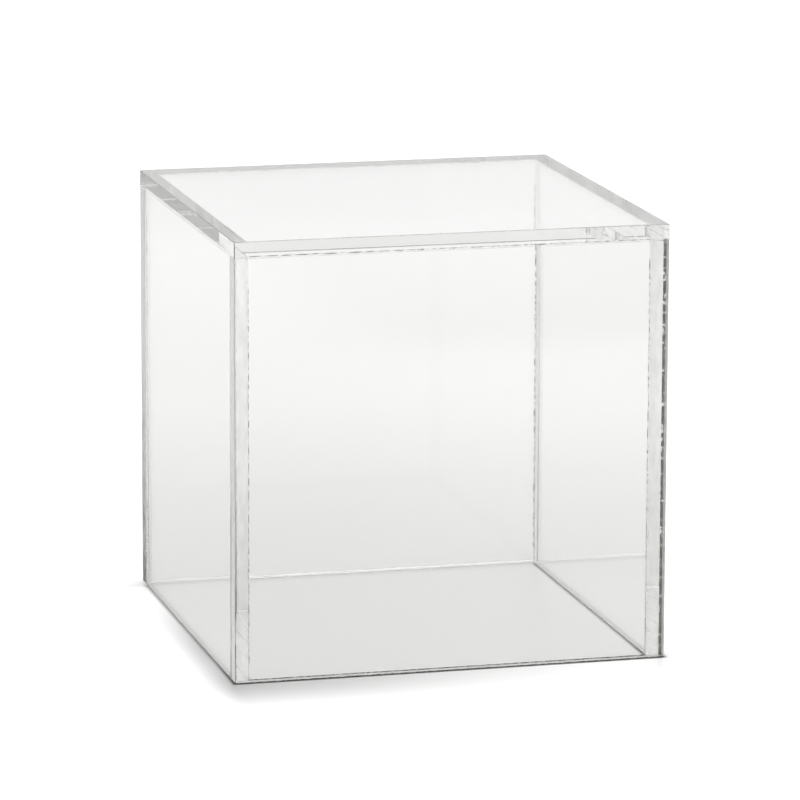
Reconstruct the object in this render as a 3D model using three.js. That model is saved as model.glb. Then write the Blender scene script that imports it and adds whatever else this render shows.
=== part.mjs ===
// Acrylic display cube: a clear cover with five sides and an open bottom, which stands over an
// exhibit. Five flat panels of one sheet are butt-jointed and cemented along eight seams.
// Millimetres, +Z up, front towards -Y. The origin is the centre of the open bottom.
import * as THREE from "three";

// Driving dimensions. All are multiples of 1/8 mm, so that glued faces meet exactly.
const OUTSIDE = 89; // over the outer faces, the same in width, depth and height
const SHEET = 3.25; // thickness of the sheet that every panel is cut from
const CEMENT = 0.125; // thickness of the cured cement in a joint

// Planes that the pieces lie between, measured from the centre of the open bottom.
const OUTER = OUTSIDE / 2; // outer faces of the four walls
const INNER = OUTER - SHEET; // inner faces of the four walls
const SIDE_END = INNER - CEMENT; // front and back ends of the two side walls
const FLOOR = 0; // the rim that the cover stands on
const CEILING = OUTSIDE - SHEET; // underside of the top panel
const WALL_TOP = CEILING - CEMENT; // upper edges of the four walls

// Surfaces.
const ACRYLIC = { color: 0xeef3ef, roughness: 0.05, metalness: 0, transparent: true, opacity: 0.22 };
const CURED_CEMENT = { color: 0xe2e8e0, roughness: 0.35, metalness: 0, transparent: true, opacity: 0.5 };

const cube = new THREE.Group();

// One flat block between two planes on each axis, as a named mesh with its own material.
function addBlock(name, surface, x, y, z) {
  const spans = [x, y, z];
  const size = spans.map(([low, high]) => high - low);
  const centre = spans.map(([low, high]) => (low + high) / 2);
  const mesh = new THREE.Mesh(new THREE.BoxGeometry(...size), new THREE.MeshStandardMaterial(surface));
  mesh.name = name;
  mesh.position.set(...centre);
  cube.add(mesh);
}

// The same span on the other side of the centre.
const mirrored = ([low, high]) => [-high, -low];

// Spans that the panels and the seams share.
const full = [-OUTER, OUTER];
const betweenWalls = [-INNER, INNER];
const sideLength = [-SIDE_END, SIDE_END];
const wallHeight = [FLOOR, WALL_TOP];
const topThickness = [CEILING, OUTSIDE];
const topJoint = [WALL_TOP, CEILING];
const rightWall = [INNER, OUTER];
const leftWall = mirrored(rightWall);
const backWall = [INNER, OUTER];
const frontWall = mirrored(backWall);
const backJoint = [SIDE_END, INNER];
const frontJoint = mirrored(backJoint);

// Panels. The front and back cover the ends of the side walls, and the top covers all four walls.
addBlock("top_panel", ACRYLIC, full, full, topThickness);
addBlock("front_panel", ACRYLIC, full, frontWall, wallHeight);
addBlock("back_panel", ACRYLIC, full, backWall, wallHeight);
addBlock("left_panel", ACRYLIC, leftWall, sideLength, wallHeight);
addBlock("right_panel", ACRYLIC, rightWall, sideLength, wallHeight);

// Upright seams, between the ends of the side walls and the front and back panels.
addBlock("cement_front_left", CURED_CEMENT, leftWall, frontJoint, wallHeight);
addBlock("cement_front_right", CURED_CEMENT, rightWall, frontJoint, wallHeight);
addBlock("cement_back_left", CURED_CEMENT, leftWall, backJoint, wallHeight);
addBlock("cement_back_right", CURED_CEMENT, rightWall, backJoint, wallHeight);

// Level seams, between the upper edges of the walls and the top panel.
addBlock("cement_top_front", CURED_CEMENT, full, frontWall, topJoint);
addBlock("cement_top_back", CURED_CEMENT, full, backWall, topJoint);
addBlock("cement_top_left", CURED_CEMENT, leftWall, betweenWalls, topJoint);
addBlock("cement_top_right", CURED_CEMENT, rightWall, betweenWalls, topJoint);

export default cube;
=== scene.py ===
import math
import random

import bmesh
import bpy
from mathutils import Euler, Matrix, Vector, noise


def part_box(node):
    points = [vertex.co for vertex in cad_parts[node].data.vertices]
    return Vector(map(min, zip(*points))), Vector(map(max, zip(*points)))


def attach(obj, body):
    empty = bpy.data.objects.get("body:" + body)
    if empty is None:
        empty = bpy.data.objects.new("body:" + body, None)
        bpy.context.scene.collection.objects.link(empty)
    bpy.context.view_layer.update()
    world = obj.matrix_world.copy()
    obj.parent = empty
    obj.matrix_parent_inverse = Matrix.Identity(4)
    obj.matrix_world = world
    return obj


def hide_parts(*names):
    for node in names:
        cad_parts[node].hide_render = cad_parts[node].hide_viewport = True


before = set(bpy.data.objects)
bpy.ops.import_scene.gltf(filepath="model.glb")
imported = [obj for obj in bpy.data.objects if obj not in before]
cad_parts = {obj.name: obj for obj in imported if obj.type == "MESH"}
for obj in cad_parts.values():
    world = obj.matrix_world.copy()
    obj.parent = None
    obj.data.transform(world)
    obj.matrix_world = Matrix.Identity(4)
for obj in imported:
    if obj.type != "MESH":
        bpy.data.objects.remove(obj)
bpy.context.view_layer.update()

MM = 0.001

# Sizes read from the frame.
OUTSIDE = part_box("top_panel")[1][0] * 2
OUTER = OUTSIDE / 2
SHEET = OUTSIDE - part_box("top_panel")[0][2]
INNER = OUTER - SHEET
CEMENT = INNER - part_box("left_panel")[1][1]
CEILING = OUTSIDE - SHEET

# Sizes of the panels' detail.
GRID = 1.6 * MM  # spacing of the mesh over a panel
ARRIS = 0.18 * MM  # width of the scraped corner along an exposed edge
POLISHED_ARRIS = 0.12 * MM  # width of the corner that flame polishing rounds
SAW_WAVE = 0.035 * MM  # how far a sawn edge wanders
POLISH_WAVE = 0.012 * MM  # how far a polished edge wanders
WAVES = 45.0  # how often an edge wanders, per metre
EDGE_APART = (7.0, 90.0)  # steps that give each edge a wander of its own
STAIN = 0.1 * MM  # width of the stained line beside a joint
SMEAR = 0.9 * MM  # width of the dirty line beside the upright joints
SMEAR_FROM = INNER - CEMENT - SMEAR  # where that line starts, out from the middle
TOUCH = 0.002 * MM  # two coordinates nearer than this are the same plane
SHARP = 1.0  # radians: an edge turns more than this at a panel's corner
FLAT = 0.999  # a face whose normal is nearer an axis than this is flat
UPRIGHT = 0.2  # a face whose normal rises less than this is upright
PROBE = 0.3 * CEMENT  # how far off a face to look for cement

# Sizes of the cement's detail.
FILM_GAP = 0.012 * MM  # clearance that keeps a cement film off the sheet's face
FILM_END_CLEAR = 0.6  # how much light a film's narrow ends let straight through
DRY_SEAM = "cement_front_right"  # the joint whose border the cement failed to wet
DRY_BORDER = 0.55 * MM  # how far in that border reaches
DRY_CLEAR = 0.12  # how much light still passes straight through there
DRY_DROP = 3.5  # how dull it is, where a drop of cement is 1
BUBBLE_LENGTH = (1.0, 3.0)  # half a bubble's length, in half widths
BUBBLE_DEPTH = 0.45  # half its depth, in thicknesses of the film
BORDER_BUBBLE = (0.03 * MM, 0.07 * MM)  # half width of the bubbles along a film's inner border
BORDER_SPACING = (0.05 * MM, 0.5 * MM)
OUTER_BUBBLE = (0.03 * MM, 0.08 * MM)  # and along its outer border
OUTER_SPACING = (0.05 * MM, 0.35 * MM)
LONG_GAP = 6  # how many gaps longer the longest gap is
LONG_GAP_RARE = 6  # and how rare such gaps are
STRAY = 0.06 * MM  # how far on average a bubble in a row strays inwards
STRAY_BUBBLE = (0.025, 0.06)  # half width in mm of the bubbles anywhere in a film
STRAY_BUBBLES = 60
STRAY_DEPTH = 0.4
STRAY_INSET = 8  # how far they stay inside the film, in half widths
BEAD = (0.05, 0.13)  # radius in mm of the drops in the inside corner
BEAD_LENGTH = (3.0, 16.0)  # half their length, in radii
BEAD_SPACING = (0.0, 0.5)  # in mm
BEAD_GAP = 0.01 * MM  # clearance between a drop and the sheet beside it
BEAD_SINK = 0.05 * MM  # how far a drop sits below the middle of its film's thickness

# Looks of the acrylic and the cement.
ACRYLIC_IOR = 1.49
CLEAR_TINT = (0.985, 0.985, 0.98, 1)
ABSORBED = (0.66, 0.74, 0.62, 1)
ABSORPTION = 0.8  # per metre
# The dark below is the colour of stains and scuffs, and also of the painted shade at the cube's foot and
# on the front panel's right-hand end.
STAIN_AND_SHADE_COLOUR = (0.085, 0.08, 0.068, 1)
FROST_COLOUR = (0.8, 0.8, 0.77, 1)
CEMENT_DARK = (0.2, 0.19, 0.165, 1)
CEMENT_CLEAR = (0.93, 0.94, 0.92, 1)
CEMENT_DULLED = 0.7  # how much of its clearness a dull drop loses
POLISHED_ROUGH = 0.02
SAWN_ROUGH = 0.2  # least roughness of a sawn edge
SAWN_ROUGH_SPREAD = 0.22
CLOUDY_ROUGH = 0.45  # how much rougher a stained, worn or frosted place is, painted shade included
RELIEF_DEPTH = 0.03 * MM
RELIEF_STRENGTH = 0.3
SAW_LINE_SHARE = 0.4  # how deep the fine saw lines are beside the broad ones

# Noise in the materials: scale per metre, detail, roughness and, for one, distortion.
STREAKS = (1400.0, 4.0, 0.7)
SMEARS = (55.0, 4.0, 0.6, 0.8)
GRAIN = (900.0, 4.0, 0.7)
SAW_LINES = (2600.0, 2.0, 0.6)
SAW_BROAD = (420.0, 3.0, 0.6)
MOTTLE = (1100.0, 3.0, 0.6)
CLOUD = (700.0, 3.0, 0.6)
HAZE = (1300.0, 3.0, 0.6)

# Some noises run upright: how much they are squeezed along each axis.
STREAK_RUN = (1, 1, 0.15)
SMEAR_RUN = (1, 1, 0.35)
HAZE_RUN = (1, 1, 0.25)

# What each noise becomes: its low and high, and the strength or roughness at each.
PATCHES = (0.3, 0.62, 0.5, 1.0)
SMEAR_ROUGH = (0.45, 0.8, 0.0, 0.035)
FLECKS = (0.65, 0.35, 0.0, 1.0)
CEMENT_ROUGH = (0.4, 0.7, 0.02, 0.25)
FILM_CLEAR = (0.35, 0.65, 0.95, 0.995)

# Wear, and painted shade at the foot and on one end. Each strength is from 0 to 1.
WEAR_AND_SHADE_AT_TOP = 0.3  # painted shade: how strong the wear and darkening are towards the top, where 1 is at the foot
WEAR_AND_SHADE_UP_TO = 0.7 * OUTSIDE  # the height where it stops fading
UPRIGHT_WEAR_LEFT = 1.0  # on the upright corners
UPRIGHT_WEAR_RIGHT = 0.15
JOINT_WEAR = 0.4  # on the stained line beside a joint, outside
CORNER_WEAR = 0.1  # the same in the inside corners
SMEAR_WEAR = 0.9  # on the dirty lines beside the upright joints, outside
SMEAR_WEAR_INSIDE = 0.6
FRONT_FOOT_CORNER_SHADE = 1.0  # painted contact shade on the corners at each panel's foot
BACK_FOOT_CORNER_SHADE = 0.1
SIDE_FOOT_CORNER_SHADE = 0.05
FOOT_EDGE_SHADE = 0.35  # painted contact shade on the cut edges that the cube stands on
FRONT_FOOT_EDGE_SHADE = 0.65
RIGHT_END_SHADE = 0.5  # painted shade on the right-hand end of the front panel
BACK_END_WEAR = 1.0  # on the left-hand end of the back panel
END_FROST = 0.5  # how frosted the left-hand ends are
CORNER_SCUFF = 1.0  # how scuffed the top panel's front left corner is
RIM_SCUFF = 0.03  # how scuffed the corners round its rim are


# ---------------------------------------------------------------- node helpers
def new_material(name):
    mat = bpy.data.materials.new(name)
    mat.use_nodes = True
    mat.node_tree.nodes.clear()
    return mat


def maths(tree, operation, a, b=None, c=None, clamp=False):
    made = tree.nodes.new("ShaderNodeMath")
    made.operation = operation
    made.use_clamp = clamp
    for into, value in zip(made.inputs, (a, b, c)):
        if value is None:
            continue
        if isinstance(value, (int, float)):
            into.default_value = value
        else:
            tree.links.new(value, into)
    return made.outputs[0]


def spread(tree, value, low, high, to_low=0.0, to_high=1.0):
    """value mapped smoothly from low..high to to_low..to_high."""
    made = tree.nodes.new("ShaderNodeMapRange")
    made.interpolation_type = "SMOOTHSTEP"
    tree.links.new(value, made.inputs["Value"])
    made.inputs["From Min"].default_value = low
    made.inputs["From Max"].default_value = high
    made.inputs["To Min"].default_value = to_low
    made.inputs["To Max"].default_value = to_high
    return made.outputs["Result"]


def vector_maths(tree, operation, a, b=None):
    made = tree.nodes.new("ShaderNodeVectorMath")
    made.operation = operation
    for into, value in zip(made.inputs, (a, b)):
        if value is None:
            continue
        if isinstance(value, tuple):
            into.default_value = value
        else:
            tree.links.new(value, into)
    return made.outputs["Vector"]


def vector_length(tree, vector):
    made = tree.nodes.new("ShaderNodeVectorMath")
    made.operation = "LENGTH"
    tree.links.new(vector, made.inputs[0])
    return made.outputs["Value"]


def attribute(tree, name):
    made = tree.nodes.new("ShaderNodeAttribute")
    made.attribute_name = name
    return made.outputs["Fac"]


def stretched(tree, scale):
    """Object coordinates, in metres, times a scale on each axis."""
    where = tree.nodes.new("ShaderNodeTexCoord")
    by = tree.nodes.new("ShaderNodeVectorMath")
    by.operation = "MULTIPLY"
    tree.links.new(where.outputs["Object"], by.inputs[0])
    by.inputs[1].default_value = scale
    return by.outputs[0]


def noise_at(tree, vector, scale, detail=3.0, roughness=0.5, distortion=0.0):
    made = tree.nodes.new("ShaderNodeTexNoise")
    tree.links.new(vector, made.inputs["Vector"])
    made.inputs["Scale"].default_value = scale
    made.inputs["Detail"].default_value = detail
    made.inputs["Roughness"].default_value = roughness
    made.inputs["Distortion"].default_value = distortion
    return made.outputs["Fac"]


def colour_mix(tree, share, first, second):
    """A colour between first and second, each a socket or a plain colour."""
    made = tree.nodes.new("ShaderNodeMix")
    made.data_type = "RGBA"
    tree.links.new(share, made.inputs["Factor"])
    colours = [i for i in made.inputs if i.type == "RGBA"]
    for into, value in zip(colours, (first, second)):
        if isinstance(value, tuple):
            into.default_value = value
        else:
            tree.links.new(value, into)
    return next(o for o in made.outputs if o.type == "RGBA")


# ---------------------------------------------------------------- materials
def acrylic_material():
    """Clear cast acrylic. The mesh attributes say what each face is: cut is 1 on an edge, sawn is
    how rough that edge is, glued is 1 where cement joins it to its neighbour, so that light passes
    straight from one piece into the next, and the wear, stain and frost attributes are how strong
    each is. The wear and stain ones also carry painted shade, at the cube's foot and on the front
    panel's right-hand end."""
    mat = new_material("clear_acrylic")
    tree = mat.node_tree
    link = tree.links.new
    out = tree.nodes.new("ShaderNodeOutputMaterial")
    shell = tree.nodes.new("ShaderNodeBsdfPrincipled")
    through = tree.nodes.new("ShaderNodeBsdfTransparent")
    join = tree.nodes.new("ShaderNodeMixShader")
    link(attribute(tree, "glued"), join.inputs[0])
    link(shell.outputs[0], join.inputs[1])
    link(through.outputs[0], join.inputs[2])
    link(join.outputs[0], out.inputs["Surface"])

    shell.inputs["IOR"].default_value = ACRYLIC_IOR

    cut = attribute(tree, "cut")
    sawn = attribute(tree, "sawn")
    metres = stretched(tree, (1, 1, 1))

    # Worn and stained places, on the corners, by the joints and on the sawn ends, are dark and hardly
    # clear, and frosted ones are pale. Part of the dark is painted shade: the corners and cut edges at
    # the cube's foot, and the front panel's right-hand end. All are patchy, and the worn ones are
    # painted darker towards the foot of the cube, as painted shade.
    parts = tree.nodes.new("ShaderNodeSeparateXYZ")
    link(metres, parts.inputs[0])
    foot = spread(tree, parts.outputs["Z"], 0.0, WEAR_AND_SHADE_UP_TO, 1.0, WEAR_AND_SHADE_AT_TOP)
    streaks = noise_at(tree, stretched(tree, STREAK_RUN), *STREAKS)
    patch = spread(tree, streaks, *PATCHES)
    wear_and_shade = maths(tree, "MULTIPLY", attribute(tree, "wear_and_shade"), foot)
    wear_and_shade = maths(tree, "MULTIPLY", wear_and_shade, patch)
    stain_and_shade = maths(tree, "MULTIPLY", attribute(tree, "stain_and_shade"), patch)
    dull = maths(tree, "MAXIMUM", wear_and_shade, stain_and_shade)
    frosted = maths(tree, "MULTIPLY", attribute(tree, "frosted"), patch)
    cloudy = maths(tree, "MAXIMUM", dull, frosted)
    link(maths(tree, "SUBTRACT", 1.0, cloudy), shell.inputs["Transmission Weight"])
    pale = colour_mix(tree, frosted, CLEAR_TINT, FROST_COLOUR)
    link(colour_mix(tree, dull, pale, STAIN_AND_SHADE_COLOUR), shell.inputs["Base Color"])

    # Roughness: nearly none on the sheet's faces, with faint wiped smears; satin on sawn edges.
    smear = noise_at(tree, stretched(tree, SMEAR_RUN), *SMEARS)
    face_rough = spread(tree, smear, *SMEAR_ROUGH)
    grain = noise_at(tree, metres, *GRAIN)
    edge_rough = maths(tree, "MULTIPLY_ADD", grain, SAWN_ROUGH_SPREAD, SAWN_ROUGH)
    edge_rough = maths(tree, "MULTIPLY_ADD", edge_rough, sawn, POLISHED_ROUGH)
    mix = tree.nodes.new("ShaderNodeMix")
    link(cut, mix.inputs["Factor"])
    link(face_rough, mix.inputs["A"])
    link(edge_rough, mix.inputs["B"])
    rough = maths(tree, "MULTIPLY_ADD", cloudy, CLOUDY_ROUGH, mix.outputs["Result"])
    link(rough, shell.inputs["Roughness"])

    # Relief: saw marks on each sawn edge.
    lines = noise_at(tree, metres, *SAW_LINES)
    broad = noise_at(tree, metres, *SAW_BROAD)
    relief = maths(tree, "MULTIPLY_ADD", lines, SAW_LINE_SHARE, broad)
    sawn_edge = maths(tree, "MULTIPLY", cut, sawn)
    bump = tree.nodes.new("ShaderNodeBump")
    bump.inputs["Distance"].default_value = RELIEF_DEPTH
    link(relief, bump.inputs["Height"])
    link(maths(tree, "MULTIPLY", sawn_edge, RELIEF_STRENGTH), bump.inputs["Strength"])
    link(bump.outputs[0], shell.inputs["Normal"])

    depth = tree.nodes.new("ShaderNodeVolumeAbsorption")
    depth.inputs["Color"].default_value = ABSORBED
    depth.inputs["Density"].default_value = ABSORPTION
    link(depth.outputs[0], out.inputs["Volume"])
    return mat


def cement_material():
    """Cured cement: as clear as the sheet and matched to it, so that only its bubbles, its drops,
    its narrow ends and its dry border show. drop is how dull a face is."""
    mat = new_material("cured_cement")
    tree = mat.node_tree
    link = tree.links.new
    out = tree.nodes.new("ShaderNodeOutputMaterial")
    shell = tree.nodes.new("ShaderNodeBsdfPrincipled")
    through = tree.nodes.new("ShaderNodeBsdfTransparent")
    join = tree.nodes.new("ShaderNodeMixShader")
    link(attribute(tree, "glued"), join.inputs[0])
    link(shell.outputs[0], join.inputs[1])
    link(through.outputs[0], join.inputs[2])
    link(join.outputs[0], out.inputs["Surface"])
    shell.inputs["IOR"].default_value = ACRYLIC_IOR
    metres = stretched(tree, (1, 1, 1))
    mottle = noise_at(tree, metres, *MOTTLE)
    flecks = spread(tree, mottle, *FLECKS)
    dull = maths(tree, "MULTIPLY", attribute(tree, "drop"), flecks, clamp=True)
    link(maths(tree, "MULTIPLY_ADD", dull, -CEMENT_DULLED, 1.0), shell.inputs["Transmission Weight"])
    link(colour_mix(tree, dull, CEMENT_CLEAR, CEMENT_DARK), shell.inputs["Base Color"])
    cloud = noise_at(tree, metres, *CLOUD)
    link(spread(tree, cloud, *CEMENT_ROUGH), shell.inputs["Roughness"])
    haze = noise_at(tree, stretched(tree, HAZE_RUN), *HAZE)
    link(spread(tree, haze, *FILM_CLEAR), through.inputs["Color"])
    return mat


ACRYLIC = acrylic_material()
CURED = cement_material()


# ---------------------------------------------------------------- meshes
def stops(low, high, spacing, extra=()):
    """Coordinates from low to high, no further apart than spacing, through every extra one."""
    fixed = sorted({low, high, *(e for e in extra if low < e < high)})
    found = [fixed[0]]
    for a, b in zip(fixed, fixed[1:]):
        count = max(1, math.ceil((b - a) / spacing))
        found += [a + (b - a) * i / count for i in range(1, count + 1)]
    return found


def block(bm, low, high, cuts, spacing):
    """The surface of a box as a grid, with mesh lines at cuts, a list for each axis."""
    lines = [stops(low[i], high[i], spacing, cuts[i]) for i in range(3)]
    made = {}

    def vertex(index):
        if index not in made:
            made[index] = bm.verts.new([lines[i][index[i]] for i in range(3)])
        return made[index]

    for axis in range(3):
        u, v = (axis + 1) % 3, (axis + 2) % 3
        for side in (0, len(lines[axis]) - 1):
            for i in range(len(lines[u]) - 1):
                for j in range(len(lines[v]) - 1):
                    corners = []
                    for du, dv in ((0, 0), (1, 0), (1, 1), (0, 1)):
                        index = [0, 0, 0]
                        index[axis] = side
                        index[u] = i + du
                        index[v] = j + dv
                        corners.append(vertex(tuple(index)))
                    if side == 0:
                        corners.reverse()
                    bm.faces.new(corners)


def joint_boxes():
    """The boxes that the cement fills, by node."""
    return {name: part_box(name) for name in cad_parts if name.startswith("cement_")}


JOINTS = joint_boxes()


def touches_joint(centre, normal):
    """True if a face at centre, facing along normal, lies against cement."""
    probe = centre + normal * PROBE
    return any(
        all(low[i] - TOUCH <= probe[i] <= high[i] + TOUCH for i in range(3))
        for low, high in JOINTS.values()
    )


def near_joint(centre):
    """True if a face that isn't glued has its centre within the stained line beside a joint."""
    reach = STAIN + TOUCH
    return any(
        all(low[i] - reach <= centre[i] <= high[i] + reach for i in range(3))
        for low, high in JOINTS.values()
    )


def finish_mesh(name, bm, material):
    mesh = bpy.data.meshes.new(name)
    bm.to_mesh(mesh)
    bm.free()
    made = bpy.data.objects.new(name, mesh)
    bpy.context.scene.collection.objects.link(made)
    mesh.materials.append(material)
    return made


def wander_edges(bm, node_name, thin_axis, reach):
    """Let each cut edge that isn't glued wander slowly along its length, all inwards."""
    low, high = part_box(node_name)
    for axis in range(3):
        if axis == thin_axis:
            continue
        run = 3 - thin_axis - axis
        for end, sign in ((low[axis], 1), (high[axis], -1)):
            middle = [(low[i] + high[i]) / 2 for i in range(3)]
            middle[axis] = end
            outward = Vector((0, 0, 0))
            outward[axis] = -sign
            if touches_joint(Vector(middle), outward):
                continue
            for vert in bm.verts:
                if abs(vert.co[axis] - end) < ARRIS * 3:
                    place = Vector((vert.co[run] * WAVES, axis * EDGE_APART[0], end * EDGE_APART[1]))
                    vert.co[axis] += sign * reach * (0.5 + 0.5 * noise.noise(place))


def panel(node_name, thin_axis, polished, foot_corner_shade, ends=()):
    """One panel of sheet. thin_axis is the axis across its thickness. Its exposed corners are
    eased, and its cut edges wander a little. The argument after polished is how dark its foot
    corners are, as painted contact shade. ends lists (attribute, axis, side, strength) for cut
    edges that carry painted shade (the edges at the foot and the front panel's right-hand end),
    are worn, or are frosted white from the saw."""
    low, high = (Vector(c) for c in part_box(node_name))
    borders = [SMEAR_FROM, -SMEAR_FROM]
    for plane in (OUTER - SHEET, INNER - CEMENT):
        borders += [plane, -plane, plane + STAIN, -plane - STAIN, plane - STAIN, -plane + STAIN]
    heights = [CEILING - CEMENT, CEILING - CEMENT - STAIN, CEILING + STAIN]
    bm = bmesh.new()
    block(bm, low, high, [borders, borders, heights], GRID)
    bm.normal_update()

    # Ease the corners where both faces are exposed.
    exposed = {f: not touches_joint(f.calc_center_median(), f.normal) for f in bm.faces}
    corners = [
        e for e in bm.edges
        if len(e.link_faces) == 2
        and e.calc_face_angle() > SHARP
        and all(exposed[f] for f in e.link_faces)
    ]
    bmesh.ops.bevel(
        bm,
        geom=corners,
        offset=POLISHED_ARRIS if polished else ARRIS,
        offset_type="OFFSET",
        segments=3,
        profile=0.5,
        affect="EDGES",
        clamp_overlap=False,
    )
    bm.normal_update()

    layer_names = ("cut", "sawn", "glued", "wear_and_shade", "stain_and_shade", "frosted")
    for name in layer_names:
        bm.faces.layers.float.new(name)
    layers = {name: bm.faces.layers.float[name] for name in layer_names}
    wear_and_shade = layers["wear_and_shade"]
    for face in bm.faces:
        centre = face.calc_center_median()
        along = max(range(3), key=lambda i: abs(face.normal[i]))
        flat = abs(face.normal[along]) > FLAT
        touching = flat and touches_joint(centre, face.normal)
        on_edge = not (flat and along == thin_axis)
        face[layers["cut"]] = 1.0 if on_edge else 0.0
        face[layers["sawn"]] = 0.0 if polished else 1.0
        face[layers["glued"]] = 1.0 if touching else 0.0
        face.smooth = not flat
        upright = abs(face.normal.z) < UPRIGHT
        outside = max(abs(centre.x), abs(centre.y)) > OUTER - TOUCH
        if not flat and polished:
            front_left = upright and max(centre.x, centre.y) < 0
            face[layers["stain_and_shade"]] = CORNER_SCUFF if front_left else RIM_SCUFF
        elif not flat and upright:
            face[wear_and_shade] = UPRIGHT_WEAR_RIGHT if centre.x > 0 else UPRIGHT_WEAR_LEFT
        elif not flat:
            # The corners at the foot are darkened as painted contact shade.
            face[wear_and_shade] = foot_corner_shade
        elif thin_axis == 0 and along == 0 and abs(centre.y) > SMEAR_FROM:
            face[wear_and_shade] = SMEAR_WEAR if outside else SMEAR_WEAR_INSIDE
        elif not touching and near_joint(centre):
            face[wear_and_shade] = JOINT_WEAR if outside else CORNER_WEAR
        for name, axis, side, strength in ends:
            if flat and along == axis and face.normal[axis] * side > 0 and not touching:
                face[layers[name]] = strength

    wander_edges(bm, node_name, thin_axis, POLISH_WAVE if polished else SAW_WAVE)
    bmesh.ops.recalc_face_normals(bm, faces=bm.faces)

    made = finish_mesh(node_name + "_sheet", bm, ACRYLIC)
    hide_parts(node_name)
    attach(made, "root")
    return made


# The edges the cube stands on and the front panel's right-hand end are darkened as painted shade; the
# left-hand ends are frosted, and the back panel's is worn.
FOOT_EDGE = ("stain_and_shade", 2, -1, FOOT_EDGE_SHADE)
FRONT_FOOT_EDGE = ("stain_and_shade", 2, -1, FRONT_FOOT_EDGE_SHADE)
LEFT_END = ("frosted", 0, -1, END_FROST)
RIGHT_END = ("stain_and_shade", 0, 1, RIGHT_END_SHADE)
WORN_LEFT_END = ("wear_and_shade", 0, -1, BACK_END_WEAR)
panel("top_panel", 2, True, 0.0)
panel("front_panel", 1, False, FRONT_FOOT_CORNER_SHADE, [FRONT_FOOT_EDGE, RIGHT_END, LEFT_END])
panel("back_panel", 1, False, BACK_FOOT_CORNER_SHADE, [FOOT_EDGE, WORN_LEFT_END, LEFT_END])
panel("left_panel", 0, False, SIDE_FOOT_CORNER_SHADE, [FOOT_EDGE])
panel("right_panel", 0, False, SIDE_FOOT_CORNER_SHADE, [FOOT_EDGE])


def blob(bm, centre, radii, layers, hollow):
    """A small closed ellipsoid: a drop of cement, or a hollow in it, whose faces look inward."""
    made = bmesh.ops.create_icosphere(bm, subdivisions=1, radius=1.0)
    for vert in made["verts"]:
        vert.co = Vector(vert.co[i] * radii[i] for i in range(3)) + centre
    for face in {f for v in made["verts"] for f in v.link_faces}:
        if hollow:
            face.normal_flip()
        face.smooth = True
        face[layers["glued"]] = 0.0
        face[layers["drop"]] = 1.0


def chain(bm, rng, layers, box, axes, side, sizes, spacing):
    """Bubbles in a broken row along one border of a film. side is where the row lies across the
    film, and sizes and spacing are the least and most of each bubble's half width and gap."""
    low, high = box
    thin_axis, cross_axis, long_axis = axes
    middle = (low[cross_axis] + high[cross_axis]) / 2
    inward = 1 if side < middle else -1
    place = low[long_axis] + sizes[1]
    while place < high[long_axis] - sizes[1] * 3:
        width = rng.uniform(*sizes)
        length = width * rng.uniform(*BUBBLE_LENGTH)
        place += length
        centre = Vector((0, 0, 0))
        centre[thin_axis] = (low[thin_axis] + high[thin_axis]) / 2
        centre[cross_axis] = side + inward * (width * 1.2 + rng.expovariate(1 / STRAY))
        centre[long_axis] = place
        radii = [0.0, 0.0, 0.0]
        radii[thin_axis] = (high[thin_axis] - low[thin_axis]) * BUBBLE_DEPTH
        radii[cross_axis] = width
        radii[long_axis] = length
        if place + length < high[long_axis]:
            blob(bm, centre, radii, layers, hollow=True)
        place += length + rng.uniform(*spacing) * (1 + LONG_GAP * rng.random() ** LONG_GAP_RARE)


def scatter(bm, rng, layers, box, axes, count):
    """A few bubbles anywhere in a film."""
    low, high = box
    thin_axis, cross_axis, long_axis = axes
    for _ in range(count):
        width = rng.uniform(*STRAY_BUBBLE) * MM
        centre = (low + high) / 2
        for axis in (cross_axis, long_axis):
            centre[axis] = rng.uniform(low[axis] + width * STRAY_INSET, high[axis] - width * STRAY_INSET)
        radii = [width, width, width]
        radii[thin_axis] = (high[thin_axis] - low[thin_axis]) * STRAY_DEPTH
        blob(bm, centre, radii, layers, hollow=True)


def beads(bm, rng, layers, box, axes, inner):
    """Cement that squeezed out into the inside corner of a joint and set as a broken row of long
    drops. inner is where the corner lies across the film."""
    low, high = box
    thin_axis, cross_axis, long_axis = axes
    middle = (low + high) / 2
    into_box = -1 if inner > 0 else 1
    away = 1 if middle[thin_axis] < 0 else -1
    place = low[long_axis] + SHEET
    last = high[long_axis] - SHEET
    while place < last:
        radius = rng.uniform(*BEAD) * MM
        length = radius * rng.uniform(*BEAD_LENGTH)
        place += length
        centre = middle.copy()
        centre[thin_axis] += away * (radius - BEAD_SINK)
        centre[cross_axis] = inner + into_box * (radius + BEAD_GAP)
        centre[long_axis] = place
        radii = [radius, radius, radius]
        radii[long_axis] = length
        if place + length < last:
            blob(bm, centre, radii, layers, hollow=False)
        place += length + rng.uniform(*BEAD_SPACING) * MM


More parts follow.
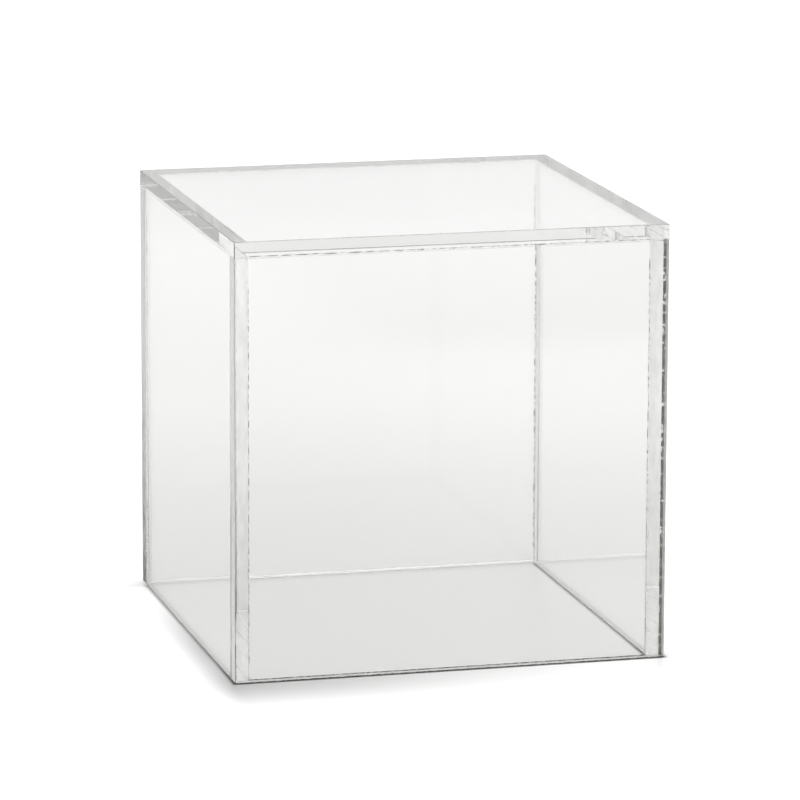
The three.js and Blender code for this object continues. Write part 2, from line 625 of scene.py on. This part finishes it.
def seam(node_name, thin_axis, long_axis, seed):
    """The cement in one joint: a film with rows of trapped bubbles along its borders, and drops
    in the inside corner. One joint has a dry border outside."""
    low, high = (Vector(c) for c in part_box(node_name))
    rng = random.Random(seed)
    low[thin_axis] += FILM_GAP
    high[thin_axis] -= FILM_GAP
    cross_axis = 3 - thin_axis - long_axis
    bm = bmesh.new()
    for name in ("glued", "drop"):
        bm.faces.layers.float.new(name)
    layers = {name: bm.faces.layers.float[name] for name in ("glued", "drop")}
    on_high_side = low[cross_axis] + high[cross_axis] > 0
    inner = low[cross_axis] if on_high_side else high[cross_axis]
    outer = high[cross_axis] if on_high_side else low[cross_axis]
    cuts = [[], [], []]
    if node_name == DRY_SEAM:
        cuts[cross_axis] = [outer - DRY_BORDER]
    block(bm, low, high, cuts, 2 * GRID)
    bm.normal_update()
    for face in bm.faces:
        flat = abs(face.normal[thin_axis]) > FLAT
        face[layers["glued"]] = 1.0 if flat else FILM_END_CLEAR
        from_outside = abs(face.calc_center_median()[cross_axis] - outer)
        if node_name == DRY_SEAM and flat and from_outside < DRY_BORDER:
            face[layers["glued"]] = DRY_CLEAR
            face[layers["drop"]] = DRY_DROP
    box = (low, high)
    axes = (thin_axis, cross_axis, long_axis)
    chain(bm, rng, layers, box, axes, inner, BORDER_BUBBLE, BORDER_SPACING)
    chain(bm, rng, layers, box, axes, outer, OUTER_BUBBLE, OUTER_SPACING)
    scatter(bm, rng, layers, box, axes, STRAY_BUBBLES)
    beads(bm, rng, layers, box, axes, inner)
    made = finish_mesh(node_name + "_film", bm, CURED)
    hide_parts(node_name)
    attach(made, "root")
    return made


for number, name in enumerate(sorted(JOINTS)):
    if "top" not in name:
        seam(name, 1, 2, number)
    elif "front" in name or "back" in name:
        seam(name, 2, 0, number)
    else:
        seam(name, 2, 1, number)


# ---------------------------------------------------------------- stage
# How pale the floor is, with painted shade and light on it: darker beside the cube, brighter further
# out, a shade darker again beyond that, and darker towards the left.
FLOOR = 0.72  # where it is seen through or in the acrylic
FLOOR_SEEN = 0.94  # where the camera looks straight at it
FLOOR_NEAR = 0.825  # painted shade: how much of FLOOR is left beside the cube
FLOOR_FAR = 1.07  # painted light: how much brighter it gets further out
FLOOR_FURTHER = 0.93  # painted shade: how much of that is left further out still
FLOOR_LEFT = 0.84  # painted light falling off: how much is left on the left, and on the right
FLOOR_RIGHT = 1.02
NEAR_REACH = (0.07, 0.25)  # where each of these begins and ends, from the middle
FAR_REACH = (0.25, 0.45)
FURTHER_REACH = (0.42, 0.6)
LEFT_TO_RIGHT = (-0.22, 0.15)
FLOOR_HALF = 6.0
FLOOR_DROP = 0.02 * MM  # keeps it off the cube's foot

# The soft shade on the floor round the cube's foot.
CONTACT = 0.97  # how much light is left in it, where it is seen in the acrylic
SHADE_LEFT = 0.42  # the same where the camera looks straight at it, at the left
SHADE_RIGHT = 0.85  # and at the right
SHADE_BACK = 0.15  # how strong it is at the back, where 1 is in front
SHADE_SIDE = 8 * MM  # how far it spreads at the sides, and in front
SHADE_FRONT = 24 * MM
SHADE_INSET = MM  # how far inside the walls' outer faces it begins
SHADE_OFFSET = (-1 * MM, -2 * MM, 0)

# The painted contact shadow: a dark line where the walls meet the floor.
FOOT_LINE = 0.35  # how much light is left beside the side walls' foot
FRONT_LINE = 0.04  # beside the front wall's foot
BACK_LINE = 0.95  # beside and under the back wall's foot
FOOT_UNDER = 0.75  # right under the side walls
FRONT_UNDER = 0.3  # and under the front wall
LINE_SOFT = 1.0 * MM
SIDE_LINE_FROM = (3 * MM, 15 * MM)  # where the side walls' line takes over, behind the front wall
BACK_LINE_FROM = 2 * MM  # where the back wall's line takes over, in front of it
CORNER_SOFT = 2.8 * MM  # how far the soft shade at the back wall's foot reaches, inside
CORNER_LEFT = 0.86  # how much light is left in it

# The dark card on the floor in front.
CARD = 0.15  # its brightness, where 1 is white in the render
CARD_PLACE = Vector((0.175, -0.5, 1.0 * MM))
CARD_HALF = Vector((0.14, 0.17, 0.0))  # half its size, across and along
CARD_FADE = 0.06  # how softly its edges fade

# The world. Directions are parts of a line one unit long.
BACKDROP = 0.91  # its brightness, where 1 is white in the render
OVERHEAD = 2.05  # brightness of the soft light overhead
OVERHEAD_HEIGHT = (0.55, 0.95)
FLAG = 0.12  # brightness of the dark flag
FLAG_FORWARD = (0.3, 0.6)  # where each border of the flag begins and ends
FLAG_LEFT = (-0.2, 0.0)
FLAG_RIGHT = (0.45, 0.6)
FLAG_FOOT = (0.0, 0.06)
FLAG_TOP = (0.2, 0.26)


def floor():
    mesh = bpy.data.meshes.new("studio_floor")
    bm = bmesh.new()
    bmesh.ops.create_grid(bm, x_segments=8, y_segments=8, size=FLOOR_HALF)
    bm.to_mesh(mesh)
    bm.free()
    made = bpy.data.objects.new("studio_floor", mesh)
    made.location.z = -FLOOR_DROP
    bpy.context.scene.collection.objects.link(made)
    mat = new_material("studio_floor")
    tree = mat.node_tree
    out = tree.nodes.new("ShaderNodeOutputMaterial")
    shell = tree.nodes.new("ShaderNodeBsdfPrincipled")
    shell.inputs["Roughness"].default_value = 0.3
    where = tree.nodes.new("ShaderNodeNewGeometry")
    flat = vector_maths(tree, "MULTIPLY", where.outputs["Position"], (1, 1, 0))
    reach = vector_length(tree, flat)
    # Painted shade and light on the floor: darker beside the cube, brighter further out, and falling off
    # towards the left.
    near = spread(tree, reach, *NEAR_REACH, FLOOR_NEAR, 1.0)
    far = spread(tree, reach, *FAR_REACH, 1.0, FLOOR_FAR)
    further = spread(tree, reach, *FURTHER_REACH, 1.0, FLOOR_FURTHER)
    across = tree.nodes.new("ShaderNodeSeparateXYZ")
    tree.links.new(where.outputs["Position"], across.inputs[0])
    tilt = spread(tree, across.outputs["X"], *LEFT_TO_RIGHT, FLOOR_LEFT, FLOOR_RIGHT)
    pool = near
    for share in (far, further, tilt):
        pool = maths(tree, "MULTIPLY", pool, share)

    # A soft shade round the foot of the cube, longer in front than at its sides.
    offset = vector_maths(tree, "SUBTRACT", flat, SHADE_OFFSET)
    size = vector_maths(tree, "ABSOLUTE", offset)
    shade_from = OUTER - SHADE_INSET
    beyond = vector_maths(tree, "SUBTRACT", size, (shade_from, shade_from, 0))
    outside = vector_maths(tree, "MAXIMUM", beyond, (0, 0, 0))
    scaled = vector_maths(tree, "DIVIDE", outside, (SHADE_SIDE, SHADE_FRONT, 1))
    fade = spread(tree, vector_length(tree, scaled), 0.0, 1.0)

    # A thin dark line beside and under the walls, and a soft shade at the back wall's foot. Both
    # stand for the contact shadow, which clear acrylic doesn't cast here.
    ends = tree.nodes.new("ShaderNodeSeparateXYZ")
    tree.links.new(vector_maths(tree, "ABSOLUTE", flat), ends.inputs[0])
    ring = maths(tree, "MAXIMUM", ends.outputs["X"], ends.outputs["Y"])
    ring = maths(tree, "ABSOLUTE", maths(tree, "SUBTRACT", ring, OUTER - SHEET / 2))
    side_from, side_to = (distance - INNER for distance in SIDE_LINE_FROM)
    at_sides = spread(tree, across.outputs["Y"], side_from, side_to)
    at_back = spread(tree, across.outputs["Y"], INNER - BACK_LINE_FROM, INNER)
    kept = maths(tree, "MULTIPLY_ADD", at_sides, FOOT_LINE - FRONT_LINE, FRONT_LINE)
    kept = maths(tree, "MULTIPLY_ADD", at_back, BACK_LINE - FOOT_LINE, kept)
    near_wall = spread(tree, ring, SHEET / 2, SHEET / 2 + LINE_SOFT, 1.0, 0.0)
    taken = maths(tree, "MULTIPLY", near_wall, maths(tree, "SUBTRACT", 1.0, kept))
    beside = maths(tree, "SUBTRACT", 1.0, taken)
    pale = maths(tree, "MULTIPLY_ADD", at_sides, FOOT_UNDER - FRONT_UNDER, FRONT_UNDER)
    pale = maths(tree, "MULTIPLY_ADD", at_back, BACK_LINE - FOOT_UNDER, pale)
    under = spread(tree, ring, SHEET / 2 - LINE_SOFT / 4, SHEET / 2, 1.0, 0.0)
    under = maths(tree, "MULTIPLY", under, pale)
    line = maths(tree, "MAXIMUM", beside, under)
    beyond_corner = maths(tree, "SUBTRACT", across.outputs["Y"], INNER - CORNER_SOFT / 3)
    from_corner = maths(tree, "ABSOLUTE", beyond_corner)
    corner = spread(tree, from_corner, 0.0, CORNER_SOFT, CORNER_LEFT, 1.0)
    line = maths(tree, "MULTIPLY", line, corner)

    # The floor is shown paler, and its shade darker, where the camera looks straight at it, as in
    # a photograph cut out on white.
    path = tree.nodes.new("ShaderNodeLightPath")
    direct = path.outputs["Is Camera Ray"]
    plain = maths(tree, "MULTIPLY", pool, maths(tree, "MULTIPLY_ADD", fade, 1 - CONTACT, CONTACT))
    plain = maths(tree, "MULTIPLY", plain, FLOOR)
    deep = spread(tree, across.outputs["X"], -OUTER, OUTER, 1 - SHADE_LEFT, 1 - SHADE_RIGHT)
    from_back = spread(tree, across.outputs["Y"], -OUTER / 2, OUTER, 1.0, SHADE_BACK)
    left_over = maths(tree, "MULTIPLY", maths(tree, "SUBTRACT", 1.0, fade), from_back)
    cut_out = maths(tree, "SUBTRACT", 1.0, maths(tree, "MULTIPLY", left_over, deep))
    cut_out = maths(tree, "MULTIPLY", cut_out, FLOOR_SEEN)
    gap = maths(tree, "SUBTRACT", cut_out, plain)
    level = maths(tree, "MULTIPLY_ADD", direct, gap, plain)
    level = maths(tree, "MULTIPLY", level, line, clamp=True)
    tree.links.new(level, shell.inputs["Base Color"])
    tree.links.new(shell.outputs[0], out.inputs["Surface"])
    mesh.materials.append(mat)
    return made


floor()


def dark_card():
    """A dark card on the floor in front, out of the camera's sight. The polished edges pick it up."""
    bm = bmesh.new()
    bmesh.ops.create_grid(bm, x_segments=4, y_segments=4, size=1.0)
    mesh = bpy.data.meshes.new("dark_card")
    bm.to_mesh(mesh)
    bm.free()
    made = bpy.data.objects.new("dark_card", mesh)
    made.scale = (CARD_HALF.x, CARD_HALF.y, 1.0)
    made.location = CARD_PLACE
    bpy.context.scene.collection.objects.link(made)
    mat = new_material("dark_card")
    tree = mat.node_tree
    out = tree.nodes.new("ShaderNodeOutputMaterial")
    clear = tree.nodes.new("ShaderNodeBsdfTransparent")
    grey = tree.nodes.new("ShaderNodeEmission")
    grey.inputs["Color"].default_value = (CARD, CARD, CARD, 1)
    fade = tree.nodes.new("ShaderNodeMixShader")
    where = tree.nodes.new("ShaderNodeNewGeometry")
    from_middle = vector_maths(tree, "SUBTRACT", where.outputs["Position"], tuple(CARD_PLACE))
    parts = tree.nodes.new("ShaderNodeSeparateXYZ")
    tree.links.new(vector_maths(tree, "ABSOLUTE", from_middle), parts.inputs[0])
    across = spread(tree, parts.outputs["X"], CARD_HALF.x - CARD_FADE, CARD_HALF.x, 1.0, 0.0)
    along = spread(tree, parts.outputs["Y"], CARD_HALF.y - CARD_FADE, CARD_HALF.y, 1.0, 0.0)
    tree.links.new(maths(tree, "MULTIPLY", across, along), fade.inputs[0])
    tree.links.new(clear.outputs[0], fade.inputs[1])
    tree.links.new(grey.outputs[0], fade.inputs[2])
    tree.links.new(fade.outputs[0], out.inputs["Surface"])
    mesh.materials.append(mat)
    made.visible_camera = False
    made.visible_diffuse = False
    made.visible_shadow = False


dark_card()


def studio_light():
    """A pale studio: a bright backdrop all round and a soft light overhead, with a dark flag low
    in front, a little to the right, that the polished edges pick up."""
    world = bpy.data.worlds.new("studio")
    bpy.context.scene.world = world
    world.use_nodes = True
    tree = world.node_tree
    tree.nodes.clear()
    link = tree.links.new
    where = tree.nodes.new("ShaderNodeTexCoord")
    parts = tree.nodes.new("ShaderNodeSeparateXYZ")
    link(where.outputs["Generated"], parts.inputs[0])
    height = parts.outputs["Z"]
    forward = maths(tree, "MULTIPLY", parts.outputs["Y"], -1.0)

    overhead = spread(tree, height, *OVERHEAD_HEIGHT, BACKDROP, OVERHEAD)
    in_front = spread(tree, forward, *FLAG_FORWARD)
    from_left = spread(tree, parts.outputs["X"], *FLAG_LEFT)
    to_right = spread(tree, parts.outputs["X"], *FLAG_RIGHT, 1.0, 0.0)
    above_horizon = spread(tree, height, *FLAG_FOOT)
    below_lamp = spread(tree, height, *FLAG_TOP, 1.0, 0.0)
    flag = in_front
    for border in (from_left, to_right, above_horizon, below_lamp):
        flag = maths(tree, "MULTIPLY", flag, border)
    level = maths(tree, "MULTIPLY", maths(tree, "SUBTRACT", 1.0, flag), overhead)
    level = maths(tree, "MULTIPLY_ADD", flag, FLAG, level)

    glow = tree.nodes.new("ShaderNodeBackground")
    link(level, glow.inputs["Color"])
    out = tree.nodes.new("ShaderNodeOutputWorld")
    link(glow.outputs[0], out.inputs["Surface"])


studio_light()


# ---------------------------------------------------------------- camera
CAMERA_PLACE = Vector((-3.065, -11.757, 3.072)) * OUTSIDE
CAMERA_TURN = (78.14, -0.18, -14.61)  # degrees
SENSOR = 36.0  # mm
LENS = 240.7  # mm
BOUNCES = 40  # enough for light to cross every sheet and come back


def camera():
    data = bpy.data.cameras.new("camera")
    made = bpy.data.objects.new("camera", data)
    bpy.context.scene.collection.objects.link(made)
    made.location = CAMERA_PLACE
    made.rotation_euler = Euler([math.radians(a) for a in CAMERA_TURN])
    data.sensor_width = SENSOR
    data.lens = LENS
    data.clip_start = 0.05
    data.clip_end = 50.0
    bpy.context.scene.camera = made


camera()

scene = bpy.context.scene
scene.view_settings.view_transform = "Standard"
scene.cycles.max_bounces = BOUNCES
scene.cycles.transmission_bounces = BOUNCES
scene.cycles.glossy_bounces = BOUNCES
scene.cycles.transparent_max_bounces = 64
scene.cycles.diffuse_bounces = 4
scene.cycles.volume_bounces = 0
scene.cycles.blur_glossy = 0.0
scene.cycles.use_denoising = True
